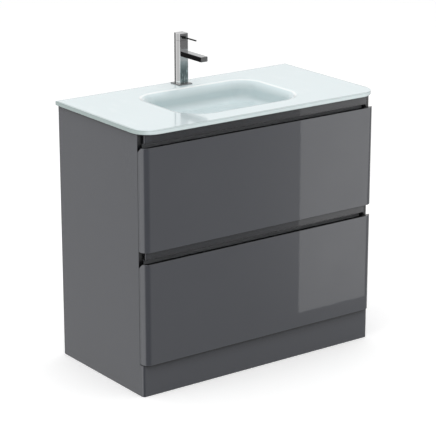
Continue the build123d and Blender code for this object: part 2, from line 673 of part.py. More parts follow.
# aerator: a cup of ring and grid, standing slightly proud of the spout's underside
GRID_RADIUS = 7
GRID_PITCH = 3
GRID_HOLE = 0.9
with BuildPart() as tap_aerator:
    aerator_top = spout_low + AERATOR_HEIGHT - AERATOR_HEADROOM
    disc(AERATOR_RADIUS - LOOSE_PLAY, spout_low - AERATOR_SHOW, aerator_top, aerator_axis)
    bore(GRID_RADIUS, spout_low - AERATOR_SHOW, spout_low, aerator_axis)
    with BuildSketch(Plane.XY.offset(spout_low)):
        with Locations(aerator_axis):
            with GridLocations(GRID_PITCH, GRID_PITCH, 3, 3):
                Circle(GRID_HOLE)
    extrude(amount=AERATOR_HEIGHT, mode=Mode.SUBTRACT)
save(tap_aerator, "tap_aerator")

# mixing cartridge: fixed barrel in the column, turret that swivels on it
TURRET_RADIUS = 7
TURRET_RISE = 8
TURRET_SINK = 6
TURRET_PLAY = 0.3
TURRET_CHAMFER = 1
with BuildPart() as tap_cartridge:
    disc(CARTRIDGE_RADIUS - LOOSE_PLAY, cartridge_floor, TAP_BODY_TOP, TAP_AXIS)
    bore(TURRET_RADIUS + TURRET_PLAY, TAP_BODY_TOP - TURRET_SINK, TAP_BODY_TOP, TAP_AXIS)
save(tap_cartridge, "tap_cartridge")

with BuildPart() as tap_turret:
    disc(TURRET_RADIUS, TAP_BODY_TOP - TURRET_SINK + TURRET_PLAY, TAP_BODY_TOP + TURRET_RISE, TAP_AXIS)
    chamfer(tap_turret.faces().sort_by(Axis.Z)[-1].edges(), TURRET_CHAMFER)
save(tap_turret, "tap_turret")

# handle cap: square block, hollow below so that it can tilt over the turret
CAP_HOLLOW = 12.5
CAP_HOLLOW_HEIGHT = 14
lever_z = CAP_BOTTOM + LEVER_ABOVE_SEAM
LEVER_BITE = 3.5
LEVER_TIP_ROUND = 1
with BuildPart() as tap_handle_cap:
    with BuildSketch(Plane.XY.offset(CAP_BOTTOM)):
        with Locations(TAP_AXIS):
            RectangleRounded(TAP_COLUMN, TAP_COLUMN, TAP_EDGE)
    extrude(amount=TAP_CAP_HEIGHT)
    fillet(tap_handle_cap.faces().sort_by(Axis.Z)[-1].edges(), EDGE_ROUND)
    bore(CAP_HOLLOW, CAP_BOTTOM, CAP_BOTTOM + CAP_HOLLOW_HEIGHT, TAP_AXIS)
    drill_forwards([(0, lever_z)], LEVER_RADIUS, column_front - LEVER_BITE, LEVER_BITE)
save(tap_handle_cap, "tap_handle_cap")

with BuildPart() as tap_lever:
    pin_forwards([(0, lever_z)], LEVER_RADIUS, column_front - LEVER_BITE, LEVER_BITE + LEVER_LENGTH)
    pin_forwards([(0, lever_z)], LEVER_COLLAR_RADIUS, column_front, LEVER_COLLAR_LENGTH)
    fillet(tap_lever.faces().sort_by(Axis.Y)[0].edges(), LEVER_TIP_ROUND)
save(tap_lever, "tap_lever")

# fixing stud, horseshoe clamp and nut under the deck
CLAMP_RADIUS = 22
CLAMP_THICKNESS = 5
CLAMP_SLOT = 15
NUT_FLATS = 13
NUT_HEIGHT = 18
clamp_bottom = DECK_UNDERSIDE - CLAMP_THICKNESS
with BuildPart() as tap_stud:
    disc(STUD_RADIUS, TAP_BODY_BOTTOM + STUD_BITE - STUD_LENGTH, TAP_BODY_BOTTOM + STUD_BITE, stud_axis)
save(tap_stud, "tap_stud")

with BuildPart() as tap_clamp_plate:
    disc(CLAMP_RADIUS, clamp_bottom, DECK_UNDERSIDE, TAP_AXIS)
    with BuildSketch(Plane.XY.offset(clamp_bottom)):
        with Locations((0, TAP_AXIS[1] - CLAMP_RADIUS)):
            Rectangle(2 * CLAMP_SLOT, 2 * CLAMP_RADIUS)
    extrude(amount=CLAMP_THICKNESS, mode=Mode.SUBTRACT)
    bore(STUD_RADIUS + CLOSE_PLAY, clamp_bottom, DECK_UNDERSIDE, stud_axis)
save(tap_clamp_plate, "tap_clamp_plate")

with BuildPart() as tap_nut:
    with BuildSketch(Plane.XY.offset(clamp_bottom - NUT_HEIGHT)):
        with Locations(stud_axis):
            RegularPolygon(NUT_FLATS / 2, 6, major_radius=False)
            Circle(STUD_RADIUS + CLOSE_PLAY, mode=Mode.SUBTRACT)
    extrude(amount=NUT_HEIGHT)
save(tap_nut, "tap_nut")

# ================= waste =================
FLANGE_THICKNESS = 3
HUB_RADIUS = 8
HUB_Z = (738, 746)
RIB = 3
RIB_BITE = 0.5
FLANGE_CHAMFER = 1
PLUG_THICKNESS = 5
PLUG_ROUND = 4
PLUG_LIFT_GAP = 0.3
STEM_TAIL = 6
SEAL_THICKNESS = 4
SEAL_RADIUS = 31
LOCKNUT_FLATS = 58
LOCKNUT_HEIGHT = 9
flange_top = WASTE_SEAT + FLANGE_THICKNESS

with BuildPart() as waste_body:
    disc(WASTE_FLANGE_RADIUS, WASTE_SEAT, flange_top, WASTE_AXIS)
    disc(WASTE_TUBE_RADIUS, WASTE_TAIL_END, WASTE_SEAT, WASTE_AXIS)
    bore(WASTE_BORE, WASTE_TAIL_END, flange_top, WASTE_AXIS)
    with BuildSketch(Plane.XY.offset(HUB_Z[0])):
        with Locations(WASTE_AXIS):
            Rectangle(2 * (WASTE_BORE + RIB_BITE), RIB)
            Rectangle(RIB, 2 * (WASTE_BORE + RIB_BITE))
            Circle(HUB_RADIUS)
    extrude(amount=HUB_Z[1] - HUB_Z[0])
    bore(PLUG_STEM_RADIUS + CLOSE_PLAY, HUB_Z[0], HUB_Z[1], WASTE_AXIS)
    chamfer(waste_body.faces().sort_by(Axis.Z)[-1].outer_wire().edges(), FLANGE_CHAMFER)
save(waste_body, "waste_body")

# press-to-close plug: rounded button on a stem that slides in the hub
plug_low = flange_top + PLUG_LIFT_GAP
with BuildPart() as waste_plug:
    disc(PLUG_RADIUS, plug_low, plug_low + PLUG_THICKNESS, WASTE_AXIS)
    fillet(waste_plug.faces().sort_by(Axis.Z)[-1].edges(), PLUG_ROUND)
    disc(PLUG_STEM_RADIUS, HUB_Z[0] - STEM_TAIL, plug_low, WASTE_AXIS)
save(waste_plug, "waste_plug")

with BuildPart() as waste_seal:
    disc(SEAL_RADIUS, BOWL_UNDERSIDE - SEAL_THICKNESS, BOWL_UNDERSIDE, WASTE_AXIS)
    bore(WASTE_TUBE_RADIUS, BOWL_UNDERSIDE - SEAL_THICKNESS, BOWL_UNDERSIDE, WASTE_AXIS)
save(waste_seal, "waste_seal")

locknut_top = BOWL_UNDERSIDE - SEAL_THICKNESS
with BuildPart() as waste_locknut:
    with BuildSketch(Plane.XY.offset(locknut_top - LOCKNUT_HEIGHT)):
        with Locations(WASTE_AXIS):
            RegularPolygon(LOCKNUT_FLATS / 2, 6, major_radius=False)
            Circle(WASTE_TUBE_RADIUS, mode=Mode.SUBTRACT)
    extrude(amount=LOCKNUT_HEIGHT)
save(waste_locknut, "waste_locknut")

# ================= bottle trap =================
NUT_RIBS = 12
NUT_RIB_RADIUS = 2
INLET_NUT_RADIUS = 27
INLET_NUT_Z = (704, 728)
TUBE_NUT_RADIUS = 24
TUBE_NUT_LENGTH = 16
TUBE_FLANGE = (21.5, 2.5)
TRAP_WALL = 3
TRAP_INLET_END = 622
OUTLET_END = -3
OUTLET_BOSS_RADIUS = 20
NUT_SHOULDER = 4
CUP_LAP = 6
OUTLET_BOSS_SHOW = 6
OUTLET_BEAD = (17.5, 3)
OUTLET_BEAD_GAP = 1
body_rear = WASTE_FROM_BACK - TRAP_BODY_RADIUS
outlet_tube_length = body_rear - TRAP_WALL - OUTLET_END
outlet_nut_rear = body_rear - OUTLET_BOSS_SHOW - TUBE_NUT_LENGTH
boss_rear = outlet_nut_rear + NUT_SHOULDER
tube_fit = TRAP_TUBE_RADIUS + CLOSE_PLAY
boss_fit = OUTLET_BOSS_RADIUS + CLOSE_PLAY
cup_top = TRAP_BODY_Z[0] + CUP_LAP
outlet_points = [(0, TRAP_OUTLET_Z)]


def ribbed_nut(radius, plane, centre, length):
    """A round plastic nut with grip ribs, standing on a plane at a point given in it."""
    with BuildSketch(plane) as ribbed:
        with Locations(centre):
            Circle(radius)
            with PolarLocations(radius, NUT_RIBS):
                Circle(NUT_RIB_RADIUS)
    extrude(ribbed.sketch, amount=length)


with BuildPart() as trap_inlet_tube:
    disc(TRAP_TUBE_RADIUS, TRAP_INLET_END, WASTE_TAIL_END, WASTE_AXIS)
    disc(TUBE_FLANGE[0], WASTE_TAIL_END - TUBE_FLANGE[1], WASTE_TAIL_END, WASTE_AXIS)
    bore(TRAP_TUBE_RADIUS - TRAP_TUBE_WALL, TRAP_INLET_END, WASTE_TAIL_END, WASTE_AXIS)
save(trap_inlet_tube, "trap_inlet_tube")

with BuildPart() as trap_inlet_nut:
    ribbed_nut(INLET_NUT_RADIUS, Plane.XY.offset(INLET_NUT_Z[0]), WASTE_AXIS, INLET_NUT_Z[1] - INLET_NUT_Z[0])
    bore(tube_fit, INLET_NUT_Z[0], INLET_NUT_Z[1], WASTE_AXIS)
    bore(WASTE_TUBE_RADIUS + CLOSE_PLAY, WASTE_TAIL_END - TUBE_FLANGE[1], INLET_NUT_Z[1], WASTE_AXIS)
save(trap_inlet_nut, "trap_inlet_nut")

with BuildPart() as trap_body:
    disc(TRAP_BODY_RADIUS, *TRAP_BODY_Z, WASTE_AXIS)
    pin_forwards(outlet_points, OUTLET_BOSS_RADIUS, boss_rear, WASTE_FROM_BACK - boss_rear)
    bore(TRAP_BODY_RADIUS - TRAP_WALL, TRAP_BODY_Z[0], TRAP_BODY_Z[1] - TRAP_WALL, WASTE_AXIS)
    bore(tube_fit, TRAP_BODY_Z[1] - TRAP_WALL, TRAP_BODY_Z[1], WASTE_AXIS)
    drill_forwards(outlet_points, tube_fit, 0, WASTE_FROM_BACK - TRAP_WALL)
save(trap_body, "trap_body")

with BuildPart() as trap_cup:
    ribbed_nut(TRAP_BODY_RADIUS + TRAP_WALL, Plane.XY.offset(TRAP_CUP_Z), WASTE_AXIS, cup_top - TRAP_CUP_Z)
    bore(TRAP_BODY_RADIUS, TRAP_BODY_Z[0], cup_top, WASTE_AXIS)
    bore(TRAP_BODY_RADIUS - TRAP_WALL, TRAP_CUP_Z + TRAP_WALL, TRAP_BODY_Z[0], WASTE_AXIS)
save(trap_cup, "trap_cup")

with BuildPart() as trap_outlet_tube:
    pin_forwards(outlet_points, TRAP_TUBE_RADIUS, OUTLET_END, outlet_tube_length)
    bead_rear = outlet_nut_rear - OUTLET_BEAD_GAP - OUTLET_BEAD[1]
    pin_forwards(outlet_points, OUTLET_BEAD[0], bead_rear, OUTLET_BEAD[1])
    drill_forwards(outlet_points, TRAP_TUBE_RADIUS - TRAP_TUBE_WALL, OUTLET_END, outlet_tube_length)
save(trap_outlet_tube, "trap_outlet_tube")

# two equal compression nuts: on the bottle's collar and on its outlet
with BuildPart() as trap_nuts:
    ribbed_nut(TUBE_NUT_RADIUS, Plane.XY.offset(TRAP_BODY_Z[1]), WASTE_AXIS, TUBE_NUT_LENGTH)
    bore(tube_fit, TRAP_BODY_Z[1], TRAP_BODY_Z[1] + TUBE_NUT_LENGTH, WASTE_AXIS)
    ribbed_nut(TUBE_NUT_RADIUS, plane_at(outlet_nut_rear), (0, TRAP_OUTLET_Z), TUBE_NUT_LENGTH)
    drill_forwards(outlet_points, tube_fit, outlet_nut_rear, TUBE_NUT_LENGTH)
    drill_forwards(outlet_points, boss_fit, outlet_nut_rear + NUT_SHOULDER, TUBE_NUT_LENGTH)
save(trap_nuts, "trap_nuts")
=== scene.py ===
import json
import math

import bpy
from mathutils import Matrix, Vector


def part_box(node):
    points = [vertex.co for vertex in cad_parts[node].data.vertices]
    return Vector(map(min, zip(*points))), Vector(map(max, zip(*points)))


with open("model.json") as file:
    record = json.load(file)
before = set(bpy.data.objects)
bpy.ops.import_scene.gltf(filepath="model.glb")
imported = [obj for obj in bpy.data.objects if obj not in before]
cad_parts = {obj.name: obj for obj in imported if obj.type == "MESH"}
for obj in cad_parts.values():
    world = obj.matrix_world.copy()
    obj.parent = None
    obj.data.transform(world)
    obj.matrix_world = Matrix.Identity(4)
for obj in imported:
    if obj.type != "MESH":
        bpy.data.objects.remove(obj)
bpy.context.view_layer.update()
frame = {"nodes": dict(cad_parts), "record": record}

NODES = frame["nodes"]

# ---- camera: front left, a little above, as a product picture is taken ----
CAMERA_PLACE = (-3.4386, -4.7181, 2.2582)
CAMERA_YAW = 0.6292
CAMERA_PITCH = 0.3014
CAMERA_LENS = 155.64
CAMERA_SENSOR = 36
CAMERA_REACH = 200


# ================= node helpers =================
class Tree:
    """A thin wrapper that makes a material's or a world's nodes readable."""

    def __init__(self, tree):
        self.tree = tree
        tree.nodes.clear()

    def add(self, kind, inputs=None, **settings):
        """Adds a node, sets its properties, and fills or links its inputs."""
        node = self.tree.nodes.new("ShaderNode" + kind)
        for key, value in settings.items():
            setattr(node, key, value)
        for key, value in (inputs or {}).items():
            self.feed(node.inputs[key], value)
        return node

    def feed(self, socket, value):
        """Links a node's output to a socket, or sets the socket's own value."""
        if isinstance(value, bpy.types.NodeSocket):
            self.tree.links.new(value, socket)
        else:
            socket.default_value = value

    def maths(self, operation, *values, clamp=False):
        """A Math node's result."""
        node = self.add("Math", operation=operation, use_clamp=clamp)
        for socket, value in zip(node.inputs, values):
            self.feed(socket, value)
        return node.outputs[0]

    def ramp(self, factor, stops, smooth=False):
        """A colour ramp through (position, grey or colour) stops."""
        node = self.add("ValToRGB", {"Fac": factor})
        node.color_ramp.interpolation = "EASE" if smooth else "LINEAR"
        elements = node.color_ramp.elements
        while len(elements) < len(stops):
            elements.new(0.5)
        for element, (position, value) in zip(elements, stops):
            element.position = position
            element.color = value if hasattr(value, "__len__") else (value, value, value, 1)
        return node.outputs["Color"]

    def span(self, factor, low, high):
        """Maps 0..1 noise onto a range of values."""
        node = self.add("MapRange", {"Value": factor, "To Min": low, "To Max": high})
        return node.outputs["Result"]

    def blend(self, factor, first, second, blend_type="MIX"):
        """Mixes two colours."""
        node = self.add("Mix", data_type="RGBA", blend_type=blend_type)
        for socket, value in ((0, factor), (6, first), (7, second)):
            self.feed(node.inputs[socket], value)
        return node.outputs[2]

    def place(self, stretch=(1, 1, 1)):
        """Object coordinates in metres, stretched along the axes."""
        where = self.add("TexCoord").outputs["Object"]
        return self.add("Mapping", {"Vector": where, "Scale": stretch}).outputs["Vector"]

    def noise(self, where, size, detail=3.0, rough=0.5):
        """Noise whose features are about `size` metres across."""
        inputs = {"Vector": where, "Scale": 1 / size, "Detail": detail, "Roughness": rough}
        return self.add("TexNoise", inputs).outputs["Fac"]

    def spot(self):
        """X, Y and Z of the shaded point, in the row's frame, in metres."""
        return self.add("SeparateXYZ", {"Vector": self.add("TexCoord").outputs["Object"]}).outputs

    def facing(self):
        """X, Y and Z of the surface's direction, in the object's own axes."""
        return self.add("SeparateXYZ", {"Vector": self.add("TexCoord").outputs["Normal"]}).outputs

    def step(self, value, start, end):
        """0 up to `start`, 1 from `end` on, and a smooth rise between them."""
        inputs = {"Value": value, "From Min": start, "From Max": end}
        return self.add("MapRange", inputs, interpolation_type="SMOOTHSTEP").outputs["Result"]

    def both(self, *masks):
        """The product of several masks."""
        result = masks[0]
        for mask in masks[1:]:
            result = self.maths("MULTIPLY", result, mask)
        return result

    def bump(self, height, depth, strength=1.0, normal=None):
        """A bump from a height pattern, in metres."""
        inputs = {"Height": height, "Distance": depth, "Strength": strength}
        if normal is not None:
            inputs["Normal"] = normal
        return self.add("Bump", inputs).outputs["Normal"]


def material(name, **shader):
    """A material with one Principled shader, whose sockets are filled by name."""
    made = bpy.data.materials.new(name)
    made.use_nodes = True
    tree = Tree(made.node_tree)
    principled = tree.add("BsdfPrincipled")
    tree.add("OutputMaterial", {"Surface": principled.outputs["BSDF"]})
    for key, value in shader.items():
        principled.inputs[key.replace("_", " ")].default_value = value
    return made, tree, principled


def rgb(red, green, blue):
    return (red, green, blue, 1)


def scaled(colour, factor):
    """A colour made darker or lighter by a factor."""
    return rgb(*(factor * channel for channel in colour[:3]))


# ================= materials =================
LACQUER_DEEP = rgb(0.051, 0.054, 0.063)
LACQUER_PALE = rgb(0.057, 0.060, 0.069)
LACQUER_FLECK = rgb(0.10, 0.103, 0.115)
LACQUER_RUBBED_AND_LIT = rgb(0.12, 0.123, 0.132)
# Painted shade for creases and under overhangs.
LACQUER_PAINTED_SHADE = rgb(0.008, 0.008, 0.009)
# Painted light: the pale colour inside the finger slot.
LACQUER_RECESS_PAINTED_LIGHT = rgb(0.42, 0.43, 0.45)
RUB_PATCHES = (0.5, 0.7)
RUB_AND_HIGHLIGHT_STRENGTH = 0.5
# How far off a surface the painted shade of a crease reaches, how much of the coat the painted shade
# takes away, and the heights above the floor between which the painted shade comes in.
CREASE_REACH = 0.05
SHADE_COAT_LOSS = 0.8
CREASES_FROM, CREASES_FULL = 0.05, 0.08
RECESS_SOFTNESS = 0.003


def gloss_lacquer(name, start, end, recess_behind=None):
    """Dark grey lacquer on board: clear gloss coat, faint orange peel, faint polishing haze, and
    rubbed sharp edges with a painted edge highlight. Painted shade makes it dark and dull as the
    share of open sky falls from `start` to `end`, except near the floor, and painted light makes it
    pale further back than `recess_behind`."""
    made, tree, shader = material(name, Coat_Roughness=0.012, Coat_IOR=1.5, IOR=1.5)
    where = tree.place()
    cloud = tree.noise(where, size=0.35, detail=2)
    fleck = tree.noise(where, size=0.0012, detail=2)
    tone = tree.blend(tree.span(cloud, low=0.2, high=0.8), LACQUER_DEEP, LACQUER_PALE)
    tone = tree.blend(tree.span(fleck, low=0, high=0.10), tone, LACQUER_FLECK)
    # Rubbed wear and a painted highlight: paler patches along sharp edges.
    patches = tree.noise(where, size=0.04, detail=4, rough=0.6)
    rub_and_highlight = tree.both(tree.step(patches, *RUB_PATCHES), edge_wear_and_highlight(tree))
    tone = tree.blend(tree.maths("MULTIPLY", rub_and_highlight, RUB_AND_HIGHLIGHT_STRENGTH), tone, LACQUER_RUBBED_AND_LIT)
    spot = tree.spot()
    # Painted shade: dark colour and a thinner coat where little open sky reaches, in creases and under
    # overhangs.
    open_sky = tree.add("AmbientOcclusion", {"Distance": CREASE_REACH}, samples=8).outputs["AO"]
    above_floor = tree.step(spot["Z"], CREASES_FROM, CREASES_FULL)
    painted_shade = tree.both(tree.step(open_sky, start, end), above_floor)
    tone = tree.blend(painted_shade, tone, LACQUER_PAINTED_SHADE)
    # Painted light: the colour turns pale behind `recess_behind`, inside the finger slot.
    if recess_behind is not None:
        recess_painted_light = tree.step(spot["Y"], recess_behind, recess_behind + RECESS_SOFTNESS)
        tone = tree.blend(recess_painted_light, tone, LACQUER_RECESS_PAINTED_LIGHT)
    tree.feed(shader.inputs["Coat Weight"], tree.maths("MULTIPLY_ADD", painted_shade, -SHADE_COAT_LOSS, 1.0))
    haze = tree.noise(where, size=0.09, detail=5, rough=0.6)
    tree.feed(shader.inputs["Base Color"], tone)
    tree.feed(shader.inputs["Roughness"], tree.span(haze, low=0.10, high=0.22))
    peel = tree.noise(where, size=0.014, detail=1)
    tree.feed(shader.inputs["Coat Normal"], tree.bump(peel, depth=0.00001, strength=0.5))
    return made


# How well the rounded and the plain surface direction agree on a flat face and on an edge.
FLAT_MATCH, EDGE_MATCH = 0.995, 0.9


def edge_wear_and_highlight(tree, radius=0.0012):
    """1 along sharp edges, where hands and cloths rub and a painted highlight runs, and 0 on flat
    faces.
    """
    rounded = tree.add("Bevel", {"Radius": radius}, samples=4).outputs["Normal"]
    plain = tree.add("NewGeometry").outputs["Normal"]
    match = tree.add("VectorMath", {0: rounded, 1: plain}, operation="DOT_PRODUCT").outputs["Value"]
    return tree.step(match, FLAT_MATCH, EDGE_MATCH)


def melamine(name, light, dark, grain=(1, 1, 1)):
    """Matt melamine-faced board with a fine printed fleck and a pressed texture."""
    made, tree, shader = material(name, IOR=1.45)
    where = tree.place(grain)
    cloud = tree.noise(where, size=0.12, detail=3)
    fleck = tree.noise(where, size=0.0016, detail=2)
    tone = tree.blend(tree.span(cloud, low=0.0, high=0.35), light, dark)
    tone = tree.blend(tree.span(fleck, low=-0.15, high=0.4), tone, dark)
    tree.feed(shader.inputs["Base Color"], tone)
    tree.feed(shader.inputs["Roughness"], tree.span(cloud, low=0.38, high=0.55))
    tree.feed(shader.inputs["Normal"], tree.bump(fleck, depth=0.00006, strength=0.6))
    return made


FIBRE_DARK = rgb(0.10, 0.055, 0.03)
FIBRE_PALE = rgb(0.24, 0.145, 0.085)
FIBRE_CLOUD = rgb(0.16, 0.095, 0.055)


def hardboard():
    """Smooth-faced brown hardboard with matted fibres."""
    made, tree, shader = material("hardboard_brown", IOR=1.45)
    where = tree.place((1, 1, 0.35))
    fibre = tree.noise(where, size=0.004, detail=6, rough=0.7)
    cloud = tree.noise(where, size=0.08, detail=3)
    tone = tree.ramp(fibre, [(0.25, FIBRE_DARK), (0.75, FIBRE_PALE)])
    tone = tree.blend(tree.span(cloud, low=0, high=0.5), tone, FIBRE_CLOUD)
    tree.feed(shader.inputs["Base Color"], tone)
    tree.feed(shader.inputs["Roughness"], tree.span(fibre, low=0.45, high=0.7))
    tree.feed(shader.inputs["Normal"], tree.bump(fibre, depth=0.0002, strength=0.5))
    return made


GLASS_DEEP = rgb(0.645, 0.745, 0.765)
GLASS_PALE = rgb(0.675, 0.770, 0.790)
GLASS_WISP_REFLECTION = rgb(0.74, 0.82, 0.83)
GLASS_WALL_SHADE = rgb(0.47, 0.55, 0.55)
GLASS_CREST_HIGHLIGHT = rgb(0.93, 0.96, 0.96)
GLASS_BRINK = rgb(0.36, 0.44, 0.43)
GLASS_CUT_FRONT = rgb(0.66, 0.745, 0.75)
GLASS_CUT_SIDE_SHADE = rgb(0.36, 0.43, 0.42)
GLASS_LINE = rgb(0.24, 0.29, 0.285)
GLASS_BLEED = (0.8, 1.0, 1.0)
# Heights below the deck's top: where the painted shade on the bowl's wall begins, the painted
# highlight on the crest round the bowl, the thin line along the top arris and the one along the foot of
# the cut edge.
WALL_TOP, WALL_FULL = 0.004, 0.012
CREST_LOW, CREST_HIGH = 0.005, 0.002
ARRIS_TOP, ARRIS_MIDDLE, ARRIS_END = 0.0014, 0.0022, 0.0035
FOOT_START, FOOT_END = 0.0115, 0.0135
BRINK_REACH = 0.006
WISP_STREAKS = (0.52, 0.72)
REFLECTION_WISP_STRENGTH, WALL_SHADE_STRENGTH, CREST_HIGHLIGHT_STRENGTH, BRINK_STRENGTH = 0.35, 0.38, 0.9, 0.75
# Shares of a surface's direction along Z or X between which it counts as steep, as rolling over
# from level, and as looking sideways.
STEEP, ROLLING, SIDEWAYS = (0.9, 0.35), (0.995, 0.95), (0.45, 0.95)
RIM_FADE = 0.8


def basin_glass():
    """White moulded glass under a clear polished skin, with pale ground edges and thin dark arrises,
    painted shade on the bowl's steep walls and on the sideways cut edges, a painted highlight along the
    bowl's crest and painted reflection wisps on the deck.
    """
    made, tree, shader = material(
        "basin_glass_white",
        IOR=1.52,
        Coat_Weight=0.4,
        Coat_IOR=1.45,
        Coat_Roughness=0.02,
        Subsurface_Weight=0.08,
        Subsurface_Scale=0.006,
    )
    shader.inputs["Subsurface Radius"].default_value = GLASS_BLEED
    where = tree.place()
    cloud = tree.noise(where, size=0.25, detail=2)
    body = tree.blend(tree.span(cloud, low=0, high=1), GLASS_DEEP, GLASS_PALE)
    # Painted reflection: pale wisps drawn out along Y on the deck.
    drawn_out = tree.place((1, 0.35, 1))
    reflection_wisp = tree.step(tree.noise(drawn_out, size=0.05, detail=5, rough=0.65), *WISP_STREAKS)
    body = tree.blend(tree.maths("MULTIPLY", reflection_wisp, REFLECTION_WISP_STRENGTH), body, GLASS_WISP_REFLECTION)
    spot, face = tree.spot(), tree.facing()
    steep = tree.step(tree.maths("ABSOLUTE", face["Z"]), *STEEP)
    low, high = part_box("basin_top")
    rim = rim_mask(tree, spot, low, high)
    hollow = tree.both(tree.maths("SUBTRACT", 1.0, rim, clamp=True), steep)
    # Painted shade: the bowl's steep walls darken below the deck's top.
    wall_shade = tree.both(hollow, tree.step(spot["Z"], high.z - WALL_TOP, high.z - WALL_FULL))
    body = tree.blend(tree.maths("MULTIPLY", wall_shade, WALL_SHADE_STRENGTH), body, GLASS_WALL_SHADE)
    # Painted highlight: a pale band along the crest where the deck rolls into the bowl.
    crest_highlight = tree.both(
        tree.maths("SUBTRACT", 1.0, rim, clamp=True),
        tree.step(tree.maths("ABSOLUTE", face["Z"]), *ROLLING),
        tree.step(spot["Z"], high.z - CREST_LOW, high.z - CREST_HIGH),
    )
    body = tree.blend(tree.maths("MULTIPLY", crest_highlight, CREST_HIGHLIGHT_STRENGTH), body, GLASS_CREST_HIGHLIGHT)
    brink = rim_mask(tree, spot, low, high, reach=BRINK_REACH)
    body = tree.blend(tree.maths("MULTIPLY", brink, BRINK_STRENGTH), body, GLASS_BRINK)
    # Painted shade: cut edges that face sideways are darker than those that face front or back.
    side = tree.step(tree.maths("ABSOLUTE", face["X"]), *SIDEWAYS)
    cut_edge = tree.blend(side, GLASS_CUT_FRONT, GLASS_CUT_SIDE_SHADE)
    under_arris = tree.step(spot["Z"], high.z - ARRIS_MIDDLE, high.z - ARRIS_END)
    arris = tree.step(spot["Z"], high.z - ARRIS_TOP, high.z - ARRIS_MIDDLE)
    line = tree.maths("SUBTRACT", arris, under_arris, clamp=True)
    foot = tree.step(spot["Z"], high.z - FOOT_START, high.z - FOOT_END)
    streak = tree.noise(tree.place((1, 1, 4)), size=0.03, detail=3)
    line = tree.maths("MAXIMUM", line, foot)
    line = tree.maths("MULTIPLY", line, tree.span(streak, low=0.35, high=0.85))
    cut_edge = tree.blend(line, cut_edge, GLASS_LINE)
    body = tree.blend(tree.both(rim, steep), body, cut_edge)
    tree.feed(shader.inputs["Base Color"], body)
    smear = tree.noise(where, size=0.06, detail=4)
    tree.feed(shader.inputs["Roughness"], tree.span(smear, low=0.06, high=0.14))
    ripple = tree.noise(where, size=0.09, detail=1)
    tree.feed(shader.inputs["Coat Normal"], tree.bump(ripple, depth=0.0001, strength=0.3))
    return made


def rim_mask(tree, spot, low, high, reach=0.03):
    """1 near the deck's outline and 0 further in."""
    masks = []
    for axis, middle, half in (
        ("X", (low.x + high.x) / 2, (high.x - low.x) / 2),
        ("Y", (low.y + high.y) / 2, (high.y - low.y) / 2),
    ):
        away = tree.maths("ABSOLUTE", tree.maths("SUBTRACT", spot[axis], middle))
        masks.append(tree.step(away, half - reach, half - reach * RIM_FADE))
    return tree.maths("MAXIMUM", *masks)


CHROME_DULL = rgb(0.40, 0.41, 0.415)
CHROME_BRIGHT = rgb(0.52, 0.53, 0.535)
CHROME_SIDE_REFLECTION = rgb(0.70, 0.70, 0.71)
CHROME_SIDEWAYS = (0.5, 0.8)


def chrome(name, sides=1.0, shine=1.0):
    """Polished chrome plate with faint wiping marks, and painted reflection by direction: `sides` is
    the brightness painted on the faces that look sideways, where a dark room is mirrored, and `shine`
    that of the rest."""
    made, tree, shader = material(name, Metallic=1.0)
    where = tree.place()
    cloud = tree.noise(where, size=0.02, detail=4)
    tone = tree.blend(cloud, scaled(CHROME_DULL, shine), scaled(CHROME_BRIGHT, shine))
    # Painted reflection: faces that look sideways get their own brightness.
    across = tree.step(tree.maths("ABSOLUTE", tree.facing()["X"]), *CHROME_SIDEWAYS)
    tone = tree.blend(across, tone, scaled(CHROME_SIDE_REFLECTION, sides))
    tree.feed(shader.inputs["Base Color"], tone)
    wipe = tree.noise(tree.place((1, 1, 0.2)), size=0.006, detail=4, rough=0.6)
    tree.feed(shader.inputs["Roughness"], tree.span(wipe, low=0.03, high=0.09))
    tree.feed(shader.inputs["Normal"], tree.bump(cloud, depth=0.00002, strength=0.4))
    return made


# Painted reflections on the tap column: tones of the front and sides, bands, and the basin's image.
COLUMN_FRONT_LOW = rgb(0.26, 0.285, 0.285)
COLUMN_FRONT_HIGH = rgb(0.40, 0.40, 0.405)
COLUMN_SIDE_LOW = rgb(0.84, 0.85, 0.85)
COLUMN_SIDE_HIGH = rgb(0.86, 0.86, 0.865)
COLUMN_DARK_REFLECTION_BAND = rgb(0.035, 0.037, 0.04)
COLUMN_WHITE_REFLECTION_BAND = rgb(1.0, 1.0, 1.0)
COLUMN_BASIN_REFLECTION = rgb(0.10, 0.118, 0.115)
COLUMN_REFLECTION_GLINT = rgb(0.75, 0.79, 0.79)
# Distances from the column's rear face at which each painted reflection band starts, is full, fades and
# ends.
DARK_BAND = (0.0005, 0.0015, 0.007, 0.0085)
WHITE_BAND = (0.0085, 0.010, 0.016, 0.0175)
# Heights above the column's foot between which the painted reflection of the basin fades out.
REFLECTION_FULL, REFLECTION_TOP = 0.01, 0.085
COLUMN_SIDEWAYS = (0.3, 0.6)
FLAME_PATCH, FLAME_SPARK = (0.42, 0.55), (0.40, 0.36)
PATCH_STRENGTH, SPARK_STRENGTH = 0.75, 0.6


